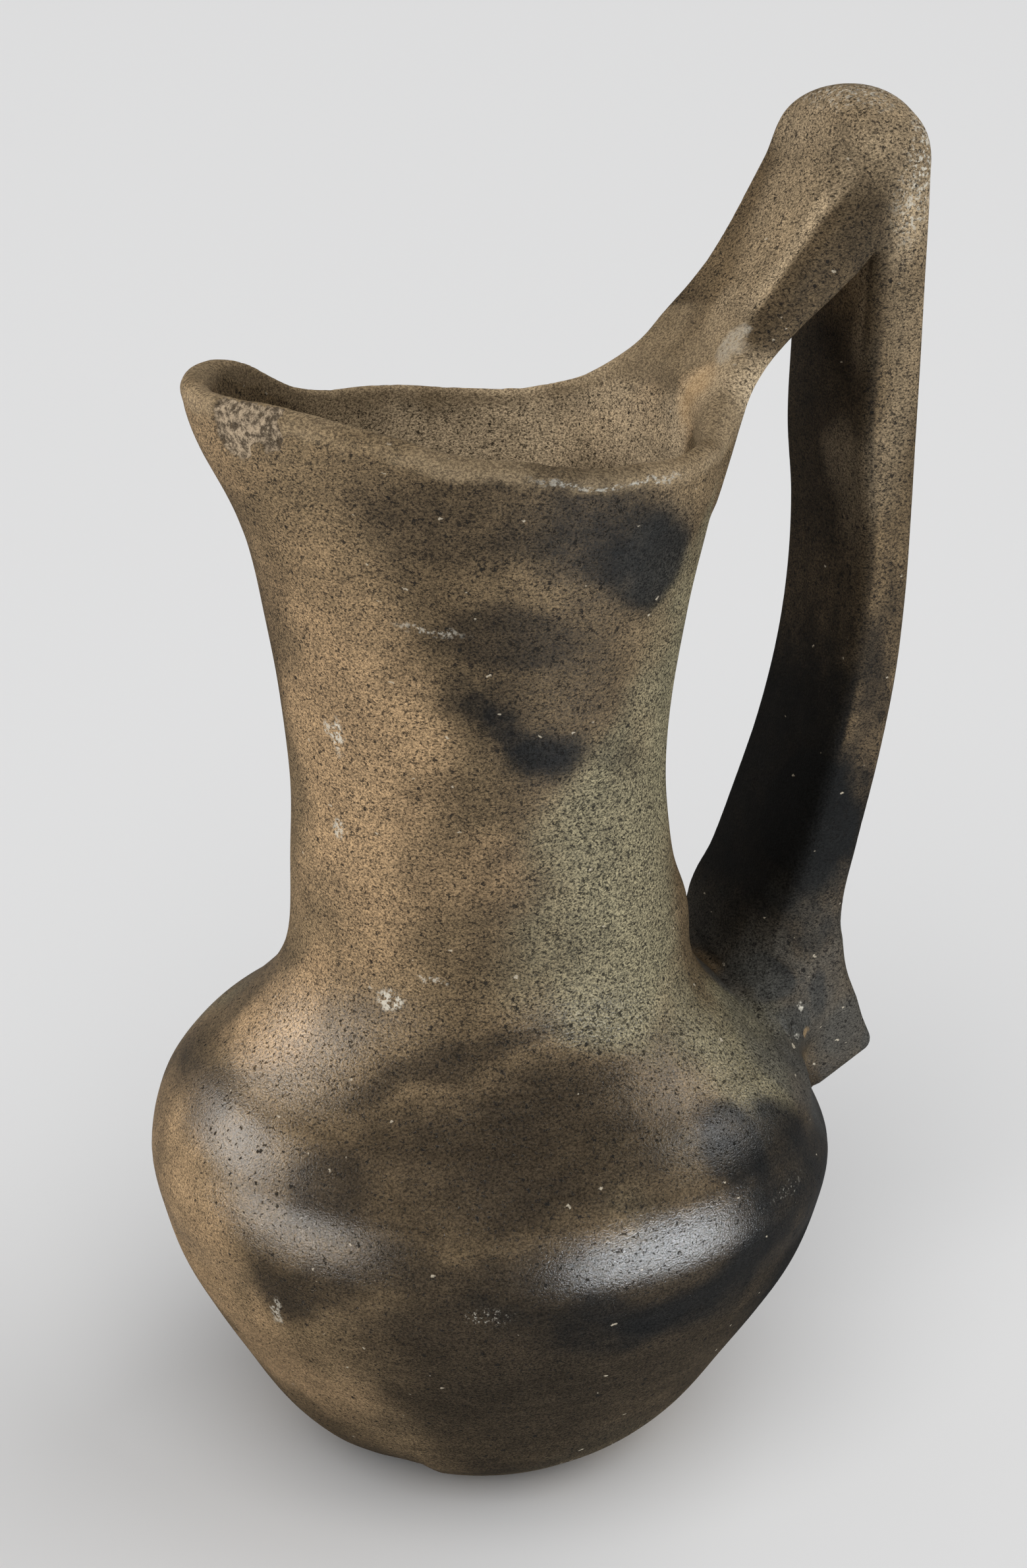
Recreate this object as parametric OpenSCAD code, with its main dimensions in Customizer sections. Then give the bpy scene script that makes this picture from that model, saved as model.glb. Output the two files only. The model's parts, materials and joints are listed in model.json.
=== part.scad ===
// Earthenware pitcher: one fired clay piece, a squat belly under a tall
// flaring neck, a pinched spout and a high strap handle.
// The foot rests on z = 0, the body's axis is the Z axis, and the handle's
// middle plane is the XZ plane on the +X side. Millimetres.

/* [Body] */
// Greatest width across the belly
belly_d = 191; // [187:1:195]
// Narrowest width of the neck, outside
neck_d = 100; // [97:1:103]
// Width of the flat that the pitcher stands on
foot_d = 71; // [66:1:74]
// Thickness of the side wall
wall_t = 6; // [5:0.25:7]
// Thickness of the floor
floor_t = 10; // [8:0.5:12]

/* [Mouth] */
// Thickness of the rounded lip
lip_t = 5.5; // [4.5:0.25:6]
// How far the spout's tip stands above the level rim
spout_rise = 15; // [10:1:18]
// How far the spout's tip stands out from the axis
spout_reach = 75; // [71:1:77]

/* [Handle] */
// Width of the strap at mid height
strap_w = 42; // [38:1:45]
// Thickness of the strap at mid height
strap_t = 16.5; // [15:0.5:18]
// Rounding along the strap's four long edges
strap_round = 4.5; // [3:0.5:5]

/* [Smoothness] */
// Facets round the body
around = 56; // [48:4:60]
// Height of one band of facets on the outside
band = 7; // [7:0.5:9]

/* [Hidden] */

clay = [0.47, 0.38, 0.27];

rim_z = 285;      // level part of the rim
lift_z = 215;     // the wall starts to lean into the rim's shape here

// Thrown profile as [height, outer radius]: foot, belly, shoulder, neck, flare
profile = [
    [-2, 32], [0, 35.5], [3, 43.5], [8, 50.5], [15, 58.5], [23, 65], [37, 73.5], [51, 81.5],
    [65, 88.8], [80, 93.5], [88, 95], [94, 94.5], [100, 92.8], [106, 90],
    [112, 85.5], [117, 80.5], [122, 73.5], [128, 66.5], [134, 60.5],
    [140, 56.5], [146, 54], [154, 52.5], [171, 51.5], [194, 50],
    [217, 51.5], [240, 55], [262, 59.5], [285, 62.5]];

// Rim as [angle from the handle, height, outer radius]
rim = [
    [0, 295, 65], [20, 296, 66], [40, 288, 64.5], [60, 285, 63.5],
    [80, 286.5, 62.5], [100, 287, 62], [120, 290, 62.5], [140, 299, 66.5],
    [160, 302, 73], [180, 300.5, 75], [200, 299, 70.5], [220, 296, 64],
    [240, 290, 62], [260, 287.5, 62], [280, 285, 62.5], [300, 284, 63.5],
    [320, 285.5, 64], [340, 289, 64.5]];

// Handle's middle line as [x, z, half width, half thickness, sideways shift]
// from the mouth up to the bend
upper_limb = [
    [57, 270, 29, 2.6, 1], [60, 280, 29, 3.4, 1], [64.5, 292, 28, 4.6, 1], [70.5, 303.5, 26, 5.7, 1],
    [79, 314, 24, 6.8, 1], [88.5, 324.5, 23, 8, 0], [97.5, 336.5, 22.5, 9, -0.5],
    [103, 348, 22.5, 9, -0.5], [107.5, 359, 22, 9, 0]];
// and from the bend down to its foot on the shoulder
lower_limb = [
    [107.5, 359, 22, 9, 0], [111.5, 351, 22, 9, 0], [112, 340, 22, 9.2, 0],
    [111.6, 320, 22, 9.9, 0], [112, 300, 22, 9.2, 0], [112.5, 278, 21.5, 8.8, 0],
    [113.2, 256, 21.5, 8, 0], [112.8, 234, 21.5, 7.9, 0], [110.5, 212, 22, 8.2, 0],
    [105.5, 189, 22, 9, 0], [98.5, 166, 23.5, 9.5, 0], [93.5, 150, 24.5, 10.8, 0],
    [90.5, 136, 25, 13.5, 0], [91.5, 122, 25, 15, 0], [97.5, 108.5, 24, 14.5, 0],
    [103, 99, 22.5, 12.6, 0], [106, 94.5, 22, 11.6, 0]];

// ---- smooth curve through a table's rows ----
function row_at(t, x, i = 0) =
    i >= len(t) - 2 || t[i + 1][0] > x ? i : row_at(t, x, i + 1);
function tangent(t, c, i) =
    let (a = max(i - 1, 0), b = min(i + 1, len(t) - 1))
    (t[b][c] - t[a][c]) / (t[b][0] - t[a][0]);
function curve(t, c, x) =
    let (i = row_at(t, x), h = t[i + 1][0] - t[i][0], u = (x - t[i][0]) / h)
    (2*u*u*u - 3*u*u + 1) * t[i][c] + (u*u*u - 2*u*u + u) * h * tangent(t, c, i)
    + (3*u*u - 2*u*u*u) * t[i + 1][c] + (u*u*u - u*u) * h * tangent(t, c, i + 1);
function fade(a, b, x) =
    let (u = max(0, min(1, (x - a) / (b - a)))) u*u*(3 - 2*u);
// the rim table, closed round the circle
rim_loop = concat(
    [for (i = [len(rim) - 2 : len(rim) - 1]) [rim[i][0] - 360, rim[i][1], rim[i][2]]],
    rim,
    [for (i = [0 : 2]) [rim[i][0] + 360, rim[i][1], rim[i][2]]]);

// how strongly the spout's own settings act at an angle
function spout_part(a) = fade(80, 10, abs(a - 172));
function rim_height(a) =
    curve(rim_loop, 1, a) + (spout_rise - 15) * spout_part(a);
function rim_radius(a) =
    curve(rim_loop, 2, a) + (spout_reach - 75) * spout_part(a);

// ---- body ----
// outer radius of the thrown shape, with the widths set above
function thrown(z) =
    curve(profile, 1, z)
    + (foot_d - 71) / 2 * fade(20, 0, z)
    + (belly_d - 191) / 2 * fade(10, 80, z) * fade(145, 110, z)
    + (neck_d - 100) / 2 * fade(110, 160, z) * fade(280, 230, z);
// the clay is drawn up round the handle's foot
function foot_mound(a, z) =
    let (b = abs(a) > 180 ? 360 - abs(a) : abs(a))
    6 * exp(-b*b / 600) * exp(-(z - 130)*(z - 130) / 500);
// sideways lean of the hand-built axis
lean = [[0, 0], [85, 2.5], [142, 1], [228, -0.8], [320, -0.8]];
function outer_r(a, z) =
    let (t = max(0, (z - lift_z) / (rim_z - lift_z)))
    thrown(z) + (rim_radius(a) - 62.5) * fade(0.38, 1, t) + foot_mound(a, z);
function outer_z(a, z) =
    z <= lift_z ? z
    : lift_z + (z - lift_z) / (rim_z - lift_z) * (rim_height(a) - lift_z);
function place(a, r, z) =
    let (s = curve(lean, 1, z))
    [r * cos(a) + s * cos(25), r * sin(a) - s * sin(25), z];
// slope of the wall as an outward unit vector [radial, up]
function outward(a, z) =
    let (d = 0.8, dz = outer_z(a, z + d) - outer_z(a, z - d),
         dr = outer_r(a, z + d) - outer_r(a, z - d), n = norm([dr, dz]))
    [dz / n, -dr / n];

top_row = rim_z - 0.8;
out_rows = concat([-2, 0, 3, 7, 12, 18],
    [for (z = [25 : band : 143]) z],
    [for (z = [150 : band * 1.6 : 270]) z], [278, top_row]);
in_rows = [top_row, 270, 252, 232, 210, 186, 164, 152, 142, 134, 126, 118, 108, 94, 76, 58, 42, 30, 22, 16];
lip_steps = 5;

function ring_out(z) = [for (k = [0 : around - 1])
    let (a = 360 * k / around) place(a, outer_r(a, z), outer_z(a, z))];
function ring_lip(b) = [for (k = [0 : around - 1])
    let (a = 360 * k / around, n = outward(a, top_row), h = lip_t / 2,
         r = outer_r(a, top_row), z = outer_z(a, top_row))
    place(a, r - n[0] * h * (1 - cos(b)) - n[1] * h * 0.85 * sin(b),
          z - n[1] * h * (1 - cos(b)) + n[0] * h * 0.85 * sin(b))];
function ring_in(z) = [for (k = [0 : around - 1])
    let (a = 360 * k / around, n = outward(a, z),
         w = lip_t + (wall_t - lip_t) * fade(285, 250, z)
             + max(0, floor_t - wall_t) * 0.6 * fade(60, 12, z))
    place(a, outer_r(a, z) - foot_mound(a, z) * 0.7 - n[0] * w,
          max(floor_t + 1.5 * fade(12, 24, z), outer_z(a, z) - n[1] * w))];
floor_rings = [for (s = [1, 0.6])
    [for (k = [0 : around - 1])
        let (a = 360 * k / around) place(a, (thrown(16) - wall_t - 9) * s, floor_t - (1 - s))]];

function stitch(rings, m) = concat(
    [[for (k = [m - 1 : -1 : 0]) k]],
    [for (i = [0 : rings - 2], k = [0 : m - 1])
        [i*m + k, i*m + (k + 1) % m, (i + 1)*m + (k + 1) % m]],
    [for (i = [0 : rings - 2], k = [0 : m - 1])
        [i*m + k, (i + 1)*m + (k + 1) % m, (i + 1)*m + k]],
    [[for (k = [0 : m - 1]) (rings - 1)*m + k]]);

module loft(rings, m) {
    polyhedron(points = [for (r = rings) each r],
               faces = [for (f = stitch(len(rings), m)) [for (i = [len(f) - 1 : -1 : 0]) f[i]]],
               convexity = 8);
}

module wall() {
    loft(concat(
        [for (z = out_rows) ring_out(z)],
        [for (i = [1 : lip_steps]) ring_lip(180 * i / (lip_steps + 1))],
        [for (z = in_rows) ring_in(z)],
        floor_rings), around);
}

// ---- handle ----
corner_steps = 4;
strap_pts = 4 * (corner_steps + 1);
// rounded rectangle, half sizes w by t, as [across, thickness] pairs
function strap_section(w, t) =
    let (c = min(strap_round, t * 0.9))
    [for (q = [0 : 3], j = [0 : corner_steps])
        let (b = 90 * q + 90 * j / corner_steps,
             sx = (q == 0 || q == 3) ? 1 : -1, sy = q < 2 ? 1 : -1)
        [sx * (w - c) + c * cos(b), sy * (t - c) + c * sin(b)]];
function limb_point(t, s) =
    let (i = min(len(t) - 2, floor(s)), u = s - i,
         a = t[max(i - 1, 0)], b = t[i], c = t[i + 1], d = t[min(i + 2, len(t) - 1)])
    0.5 * (2*b + (c - a)*u + (2*a - 5*b + 4*c - d)*u*u + (3*b - a - 3*c + d)*u*u*u);
// the strap's root is curved to lie along the round mouth
function root_bend(z, on) = on * max(0, min(1, (322 - z) / 32)) / 120;
function strap_ring(t, s, on) =
    let (p = limb_point(t, s), e = 0.05,
         q = limb_point(t, min(s + e, len(t) - 1)) - limb_point(t, max(s - e, 0)),
         n = norm([q[0], q[1]]), nx = -q[1] / n, nz = q[0] / n,
         kw = strap_w / 42, kt = strap_t / 16.5)
    [for (v = strap_section(p[2] * kw, p[3] * kt))
        let (y = p[4] + v[0])
        [p[0] + nx * v[1] - root_bend(p[1], on) * y * y, y, p[1] + nz * v[1]]];

module limb(t, steps, on) {
    loft([for (i = [0 : steps]) strap_ring(t, (len(t) - 1) * i / steps, on)], strap_pts);
}

// the rounded bend at the top of the handle
module knuckle() {
    r = strap_t / 2 + 1.1;
    w = strap_w / 2 - 0.3;
    c = strap_round;
    translate([107.3, 0, 359.4]) rotate([90, 0, 0])
        rotate_extrude($fn = 48)
            polygon(concat([[0, -w]],
                [for (b = [-90 : 15 : 0]) [r - c + c * cos(b), -w + c + c * sin(b)]],
                [for (b = [0 : 15 : 90]) [r - c + c * cos(b), w - c + c * sin(b)]],
                [[0, w]]));
}

module pitcher() {
    color(clay)
    difference() {
        union() {
            wall();
            limb(upper_limb, 16, 1);
            limb(lower_limb, 30, 0);
            knuckle();
        }
        // the flat foot that it stands on
        translate([-150, -150, -60]) cube([300, 300, 60]);
    }
}

pitcher();
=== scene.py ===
import json
import math
import bpy
import bmesh
import numpy as np
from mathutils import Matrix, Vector

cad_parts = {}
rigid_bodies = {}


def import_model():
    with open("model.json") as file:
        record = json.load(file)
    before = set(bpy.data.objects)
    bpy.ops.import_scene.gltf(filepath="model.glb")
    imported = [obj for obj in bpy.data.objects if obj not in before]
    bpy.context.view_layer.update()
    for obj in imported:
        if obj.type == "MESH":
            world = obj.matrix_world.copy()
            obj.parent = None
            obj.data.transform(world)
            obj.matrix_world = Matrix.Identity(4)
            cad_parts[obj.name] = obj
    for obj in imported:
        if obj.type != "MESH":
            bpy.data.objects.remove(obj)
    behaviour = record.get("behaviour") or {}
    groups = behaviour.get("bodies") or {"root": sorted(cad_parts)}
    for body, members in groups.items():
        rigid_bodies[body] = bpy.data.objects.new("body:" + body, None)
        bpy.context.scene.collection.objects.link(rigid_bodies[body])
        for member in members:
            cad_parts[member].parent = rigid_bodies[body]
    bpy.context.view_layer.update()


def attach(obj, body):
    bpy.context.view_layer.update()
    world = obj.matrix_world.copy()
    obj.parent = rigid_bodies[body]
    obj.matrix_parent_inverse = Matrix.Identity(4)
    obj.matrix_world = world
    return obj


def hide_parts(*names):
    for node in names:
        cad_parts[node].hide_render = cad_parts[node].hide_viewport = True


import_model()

scene = bpy.context.scene
rad = math.radians

# ------------------------------------------------------------------ camera
# The photograph's frame is 1559 x 2380. The camera stands a little above the
# rim and looks down at the pitcher, with the handle's plane turned 25 degrees
# behind the picture plane.
TURN = rad(25)
cam_data = bpy.data.cameras.new("camera")
cam = bpy.data.objects.new("camera", cam_data)
scene.collection.objects.link(cam)
scene.camera = cam
cam_data.sensor_fit = "VERTICAL"
cam_data.sensor_height = 36.0
cam_data.sensor_width = 24.0
cam_data.lens = 54.45
cam_data.clip_start = 0.02
cam_data.clip_end = 400


def from_view(x, y, z):
    """A place given as right, away and up in the photograph's view, in the object's frame."""
    c, s = math.cos(TURN), math.sin(TURN)
    return Vector((x * c + y * s, -x * s + y * c, z))


cam.location = from_view(0.00914, -0.60012, 0.39921)
look = from_view(0, math.cos(rad(19.204)), -math.sin(rad(19.204)))
cam.rotation_euler = look.to_track_quat("-Z", "Y").to_euler()

# ------------------------------------------------------------------ shape tables, in mm
RIM_Z, LIFT_Z = 285.0, 215.0
PROFILE = np.array([
    [-8, 24], [-2, 32], [0, 35.5], [3, 43.5], [8, 50.5], [15, 58.5], [23, 65], [37, 73.5], [51, 81.5],
    [65, 88.5], [80, 93], [88, 94.5], [94, 94], [100, 92.5], [106, 90],
    [112, 85.5], [117, 80.5], [122, 73.5], [128, 66.5], [134, 60.5],
    [140, 56.5], [146, 54], [154, 52.5], [171, 51.5], [194, 50],
    [217, 51.5], [240, 55], [262, 59.5], [285, 62.5], [300, 65], [330, 70]], float)
RIM = np.array([
    [0, 295, 65], [20, 296, 66], [40, 288, 64.5], [60, 285.2, 63.5],
    [80, 286.6, 62.5], [100, 287.2, 62], [120, 290, 62.5], [140, 298.8, 66.5],
    [160, 302.2, 73.2], [180, 300.5, 75.2], [200, 299, 70.6], [220, 295.8, 63.8],
    [240, 290, 62], [260, 287.3, 62], [280, 285.2, 62.5], [300, 284.2, 63.5],
    [320, 285.5, 64], [340, 289, 64.5]], float)
# how the mouth's flare grows from the neck, 0, to the rim, 1
FLARE = np.array([[0, 0], [0.2, 0.02], [0.4, 0.05], [0.5, 0.1], [0.56, 0.17], [0.62, 0.27],
                  [0.68, 0.41], [0.74, 0.58], [0.8, 0.75], [0.86, 0.88], [0.92, 0.96], [1, 1], [1.2, 1.02]], float)
LEAN = np.array([[-20, 0], [0, 0], [85, 2.5], [142, 1], [228, -0.8], [330, -0.8]], float)
# the handle's middle line: x, z, half width, half thickness, sideways shift, edge rounding, twist
UPPER = np.array([
    [57, 270, 29, 2.6, 1, 2.4, 0], [60, 280, 29, 3.4, 0.8, 3, 0], [64.5, 292, 28, 4.6, 0.8, 4, 0],
    [70.5, 303, 26, 5.6, 1.2, 5, 0], [79, 313, 24, 6.6, 0.8, 5.5, 0.02], [88.5, 323.6, 22.8, 7.8, 0, 3.6, 0.04],
    [97.5, 335.6, 22.6, 9, -0.6, 3.2, 0.06], [103.2, 347.2, 22.4, 9, -0.4, 5, 0.05], [107.8, 358.2, 22, 9.2, 0, 7, 0]], float)
LOWER = np.array([
    [107.8, 358.2, 22, 9.2, 0, 7, 0], [111.6, 351, 22, 9, 0, 5, 0], [112.8, 340, 21.8, 8.4, 0.2, 4, 0],
    [112.8, 320, 21.8, 8.4, 0.2, 4, 0], [112.4, 300, 21.8, 8.7, 0, 4, 0], [112.2, 278, 21.6, 8.9, 0, 4, 0],
    [113.2, 256, 21.6, 7.8, 0, 4, 0], [112.8, 234, 21.6, 7.7, 0, 4, 0], [110.5, 212, 21.8, 8.1, 0, 4, 0],
    [105.6, 189, 22, 8.8, 0, 4, 0], [98.7, 166, 23.5, 9.1, 0, 4, 0], [93.7, 150, 24.3, 10.2, 0, 4.5, 0],
    [90.3, 137, 25, 13.4, 0, 4.5, 0], [91, 122, 25, 15.2, 0, 5, 0], [97.4, 108.5, 24, 14.6, 0, 4.5, 0],
    [104, 98, 22.5, 12.8, 0, 4, 0], [110, 88, 21, 12.8, 0, 4, 0]], float)
INNER = np.array([[100, 60], [122, 66], [130, 71], [137, 75.5], [144, 79.8], [156, 85.3], [168, 89.9], [190, 97]], float)


def curve(T, c, q):
    """A smooth curve through column c of a table, at the places q of column 0."""
    x, y = T[:, 0], T[:, c]
    q = np.asarray(q, float)
    i = np.clip(np.searchsorted(x, q, side="right") - 1, 0, len(x) - 2)
    im, ip = np.maximum(i - 1, 0), np.minimum(i + 2, len(x) - 1)
    h = x[i + 1] - x[i]
    t = (q - x[i]) / h
    m0 = (y[i + 1] - y[im]) / (x[i + 1] - x[im])
    m1 = (y[ip] - y[i]) / (x[ip] - x[i])
    return ((2 * t**3 - 3 * t**2 + 1) * y[i] + (t**3 - 2 * t**2 + t) * h * m0
            + (3 * t**2 - 2 * t**3) * y[i + 1] + (t**3 - t**2) * h * m1)


def smooth(a, b, x):
    t = np.clip((x - a) / (b - a), 0, 1)
    return t * t * (3 - 2 * t)


def smin(a, b, k):
    h = np.maximum(k - np.abs(a - b), 0) / k
    return np.minimum(a, b) - h * h * k * 0.25


def smax(a, b, k):
    return -smin(-a, -b, k)


RIM_LOOP = np.concatenate([RIM[-2:] - [360, 0, 0], RIM, RIM[:3] + [360, 0, 0]])

# hand-made unevenness: a few broad waves round and along the pot
rng = np.random.default_rng(11)
WAVES = [(m, 2 * math.pi / L, 0.45 * a, rng.uniform(0, 6.28), rng.uniform(0, 6.28))
         for m, L, a in [(2, 240, .55), (3, 150, .4), (4, 95, .28), (5, 120, .26), (7, 70, .18),
                         (9, 55, .13), (1, 62, .22), (0, 48, .12), (11, 44, .1), (6, 38, .1)]]


def wobble(th, z):
    s = 0
    for m, k, a, p, q in WAVES:
        s = s + a * np.cos(np.radians(th) * m + p + 0.013 * z) * np.cos(z * k + q)
    return s


TH0, DTH = 0.0, 1.0
ZS0, DZ = -10.0, 0.5
TH = np.arange(0, 361, DTH)
ZS = np.arange(ZS0, 392, DZ)


def radius_table():
    th, z = TH[:, None], ZS[None, :]
    rz = curve(RIM_LOOP, 1, th)
    rr = curve(RIM_LOOP, 2, th)
    zn = np.where(z <= LIFT_Z, z, LIFT_Z + (z - LIFT_Z) * (RIM_Z - LIFT_Z) / (rz - LIFT_Z))
    t = np.clip((zn - LIFT_Z) / (RIM_Z - LIFT_Z), 0, 1.15)
    b = np.where(th > 180, 360 - th, th)
    mound = 5.7 * np.exp(-b * b / 1400) * np.exp(-(z - 153) ** 2 / 150)
    # the foot is worn away in one place
    worn = 2.3 * smooth(202, 219, th) * smooth(232, 226, th) * smooth(26, 9, z)
    # the side under the handle is fuller low down and flatter just below the spur
    side = np.abs((th - 335 + 180) % 360 - 180)
    lop = 0.9 * np.exp(-(side / 35) ** 2) * np.exp(-((z - 60) / 24) ** 2) - 2.8 * np.exp(-(side / 26) ** 2) * np.exp(-((z - 99) / 8) ** 2)
    R = curve(PROFILE, 1, np.clip(zn, -8, 329)) + (rr - 62.5) * curve(FLARE, 1, t) + mound - worn + lop
    return R + wobble(th, z) * smooth(0, 25, z)


R_TAB = radius_table()
RZ_TAB = np.gradient(R_TAB, DZ, axis=1)
RT_TAB = np.gradient(R_TAB, np.radians(DTH), axis=0)
RT_TAB[0] = RT_TAB[-1] = (RT_TAB[0] + RT_TAB[-1]) / 2
G_TAB = np.sqrt(1 + RZ_TAB**2 + (RT_TAB / 60.0) ** 2)
HR_TAB = curve(RIM_LOOP, 1, TH)
HR_TAB = HR_TAB + 1.0 + 0.35 * np.cos(np.radians(TH) * 7 + 1.1) + 0.22 * np.cos(np.radians(TH) * 13 + 4)


def look_up(tab, th, z):
    u = np.mod(th, 360) / DTH
    v = np.clip((z - ZS0) / DZ, 0, len(ZS) - 1.001)
    i = u.astype(np.int32)
    j = v.astype(np.int32)
    fu, fv = u - i, v - j
    i1 = np.minimum(i + 1, len(TH) - 1)
    return ((tab[i, j] * (1 - fv) + tab[i, j + 1] * fv) * (1 - fu)
            + (tab[i1, j] * (1 - fv) + tab[i1, j + 1] * fv) * fu)


def look_up1(tab, th):
    u = np.mod(th, 360) / DTH
    i = u.astype(np.int32)
    fu = u - i
    return tab[i] * (1 - fu) + tab[np.minimum(i + 1, len(TH) - 1)] * fu


def polar(P):
    s = np.interp(P[:, 2], ZS, curve(LEAN, 1, ZS))
    x = P[:, 0] - s * math.cos(TURN)
    y = P[:, 1] + s * math.sin(TURN)
    return np.degrees(np.arctan2(y, x)) % 360, np.hypot(x, y)


# ---- fixed lattice noise, for unevenness in the clay
LAT = np.random.default_rng(5).random((48, 48, 48))


def noise(P, size, seed=0.0):
    q = P / size + seed
    i = np.floor(q).astype(np.int64)
    f = q - i
    f = f * f * (3 - 2 * f)
    i = i % 48
    j = (i + 1) % 48
    a = LAT
    x0, y0, z0, x1, y1, z1 = i[:, 0], i[:, 1], i[:, 2], j[:, 0], j[:, 1], j[:, 2]
    fx, fy, fz = f[:, 0], f[:, 1], f[:, 2]
    c00 = a[x0, y0, z0] * (1 - fx) + a[x1, y0, z0] * fx
    c10 = a[x0, y1, z0] * (1 - fx) + a[x1, y1, z0] * fx
    c01 = a[x0, y0, z1] * (1 - fx) + a[x1, y0, z1] * fx
    c11 = a[x0, y1, z1] * (1 - fx) + a[x1, y1, z1] * fx
    return ((c00 * (1 - fy) + c10 * fy) * (1 - fz) + (c01 * (1 - fy) + c11 * fy) * fz) * 2 - 1


WALL, FLOOR = 6.0, 10.0
# the outline of the flaked patch, in mm along the rim and upward
FLAKE = np.array([[-10.5, 9], [-2, 8.6], [7.4, 7.9], [9.4, 5], [10, 0], [8.6, -2.4], [5, -3.4], [3.6, -1.6],
                  [0, -2.4], [-1.2, -5], [-4, -6.6], [-7, -5], [-10, -3.6], [-11.2, -0.6], [-11, 4]], float)


def polygon(K, x, y):
    """Signed distance to a closed outline in a plane; negative inside."""
    best = np.full(x.shape, 1e9)
    inside = np.zeros(x.shape, bool)
    for (ax, ay), (bx, by) in zip(K, np.roll(K, -1, axis=0)):
        ex, ey = bx - ax, by - ay
        t = np.clip(((x - ax) * ex + (y - ay) * ey) / (ex * ex + ey * ey), 0, 1)
        best = np.minimum(best, np.hypot(x - ax - t * ex, y - ay - t * ey))
        inside ^= ((ay > y) != (by > y)) & (x < ax + (y - ay) * ex / (ey if ey else 1e-9))
    return np.where(inside, -best, best)


def strand(K, P):
    """Distance to a chain of straight pieces in space."""
    best = np.full(len(P), 1e9)
    for a, b in zip(K[:-1], K[1:]):
        e = b - a
        t = np.clip(((P - a) @ e) / (e @ e), 0, 1)
        best = np.minimum(best, np.linalg.norm(P - a - t[:, None] * e, axis=1))
    return best


def wall_part(P):
    """Signed distance to the clay of the body, neck and lip; negative inside the clay."""
    z = P[:, 2]
    th, r = polar(P)
    q = (r - look_up(R_TAB, th, z)) / look_up(G_TAB, th, z)
    cosa = 1 / np.sqrt(1 + look_up(RZ_TAB, th, z) ** 2)
    spout = smooth(45, 8, np.abs(th - 172)) * smooth(255, 290, z)
    w = WALL - 0.4 * smooth(240, 280, z) + 1.6 * spout
    outside = smax(q, 1.2 * smooth(20, 8, np.abs(th - 217)) * smooth(18, 30, r) - z, 2.5)
    hollow = smax(q + w + 2.5 * smooth(60, 15, z), FLOOR - z, 12)
    body = np.maximum(outside, -hollow)
    # the lip: rounded inside, with a narrow sloping band outside
    b = (z - look_up1(HR_TAB, th)) * cosa
    tip = smooth(30, 12, np.abs(th - 168))
    rc = 1.4 + 2.2 * tip
    u = np.abs(q + w / 2) - (w / 2 - rc)
    v = b + rc
    lip = np.hypot(np.maximum(u, 0), np.maximum(v, 0)) + np.minimum(np.maximum(u, v), 0) - rc
    bevel = 0.6 * (q + 0.5 * w) + 0.8 * (b + 0.15) - 3 * tip
    lip = smax(lip, bevel, 0.8)
    # the lip is worn, and a patch has flaked off under the spout
    d = np.where(z > 235, lip, body)
    at = np.flatnonzero((z > 270) & (np.abs(d) < 4))
    L, q, b = P[at], q[at], b[at]
    wear = smooth(-9, -2, b) * smooth(-7, -5, q)
    d[at] += wear * (0.28 * np.maximum(noise(L, 4.5, 3.3), 0) + 0.22 * np.maximum(noise(L, 2.1, 7.7) - 0.1, 0))
    f = np.abs(th[at] - 197) < 12
    at, L, q = at[f], L[f], q[f]
    flake = polygon(FLAKE, (th[at] - 197) * 1.24, L[:, 2] - 293) + 0.7 * noise(L, 3.2, 1.9) + 0.35 * noise(L, 1.3, 5.1)
    d[at] += smooth(0.5, -0.7, flake) * smooth(-4, -2.5, q) * (1.05 + 0.3 * noise(L, 2.4, 9.2) + 0.18 * noise(L, 1.1, 2.2))
    return d


def limb_maps(T):
    """The distance to the handle's middle line, its side and its sizes there, over the handle's own plane."""
    rows = np.column_stack([np.arange(len(T), dtype=float), T])
    s = np.arange(0, len(T) - 1 + 1e-9, 0.03)
    line = np.column_stack([curve(rows, c + 1, s) for c in range(T.shape[1])])
    way = np.gradient(line[:, :2], axis=0)
    gx, gz = np.arange(20, 150, 0.5), np.arange(60, 396, 0.5)
    X, Z = np.meshgrid(gx, gz, indexing="ij")
    best = np.full(X.shape, 1e9)
    who = np.zeros(X.shape, np.int32)
    for n, p in enumerate(line):
        d = (X - p[0]) ** 2 + (Z - p[1]) ** 2
        m = d < best
        best[m] = d[m]
        who[m] = n
    side = way[who, 0] * (Z - line[who, 1]) - way[who, 1] * (X - line[who, 0])
    return [np.sqrt(best), np.where(side < 0, -1.0, 1.0)] + [line[who, c] for c in (2, 3, 4, 5, 6)]


UP_MAPS, LOW_MAPS = limb_maps(UPPER), limb_maps(LOWER)


def limb_part(P, maps, bend):
    y, z = P[:, 1], P[:, 2]
    x = P[:, 0] + (np.clip((322 - z) / 32, 0, 1) / 120 * y * y if bend else 0)
    u = np.clip((x - 20) / 0.5, 0, maps[0].shape[0] - 1.001)
    v = np.clip((z - 60) / 0.5, 0, maps[0].shape[1] - 1.001)
    i, j = u.astype(np.int32), v.astype(np.int32)
    fu, fv = u - i, v - j
    d, side, w, t, y0, rc, twist = [(m[i, j] * (1 - fv) + m[i, j + 1] * fv) * (1 - fu)
                                    + (m[i + 1, j] * (1 - fv) + m[i + 1, j + 1] * fv) * fu for m in maps]
    a = (y - y0) / w
    t = t + 0.1 - 0.35 * a * a
    rc = np.minimum(rc, t * 0.97)
    qx, qz = np.abs(y - y0) - w + rc, d - side * twist * y - t + rc
    return np.hypot(np.maximum(qx, 0), np.maximum(qz, 0)) + np.minimum(np.maximum(qx, qz), 0) - rc


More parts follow.
